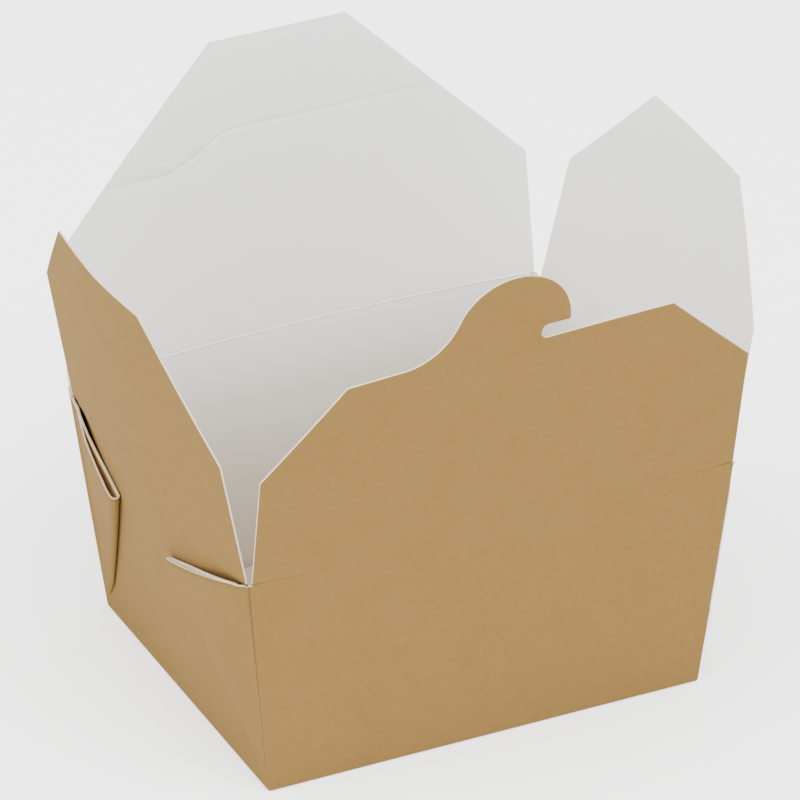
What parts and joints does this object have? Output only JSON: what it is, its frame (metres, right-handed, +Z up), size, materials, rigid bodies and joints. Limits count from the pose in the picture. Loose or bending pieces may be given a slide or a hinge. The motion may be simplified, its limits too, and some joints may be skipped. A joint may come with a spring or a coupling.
{
  "type": "takeaway box",
  "caption": "Folded card food box, tapered tray with corner gussets and hinged closing flaps, one with a hook tab and one with its slit.",
  "frame": {"origin": "centre of the base's underside, on the surface the box stands on", "axes": "+Z up, +X to the right along the long side, +Y to the back; the flap with the hook tab is at -Y"},
  "size_m": [0.1619, 0.1359, 0.1403],
  "materials": {
    "kraft_board": "matte kraft brown outside, coated white inside"
  },
  "bodies": {
    "tray": {"tray": "kraft_board"},
    "left_flap": {"left_flap": "kraft_board"},
    "right_flap": {"right_flap": "kraft_board"},
    "front_flap": {"front_flap": "kraft_board"},
    "back_flap": {"back_flap": "kraft_board"}
  },
  "joints": [
    {"name": "left_flap_crease", "type": "hinge", "parent": "tray", "child": "left_flap", "pos_m": [-0.06457, 0, 0.0627], "axis": [0, 1, 0], "range_deg": [-100, 104]},
    {"name": "right_flap_crease", "type": "hinge", "parent": "tray", "child": "right_flap", "pos_m": [0.06457, 0, 0.0627], "axis": [0, -1, 0], "range_deg": [-100, 105.2]},
    {"name": "front_flap_crease", "type": "hinge", "parent": "tray", "child": "front_flap", "pos_m": [0, -0.05205, 0.0635], "axis": [-1, 0, 0], "range_deg": [-98, 98.9]},
    {"name": "back_flap_crease", "type": "hinge", "parent": "tray", "child": "back_flap", "pos_m": [0, 0.05205, 0.0635], "axis": [1, 0, 0], "range_deg": [-95, 102.9]}
  ]
}
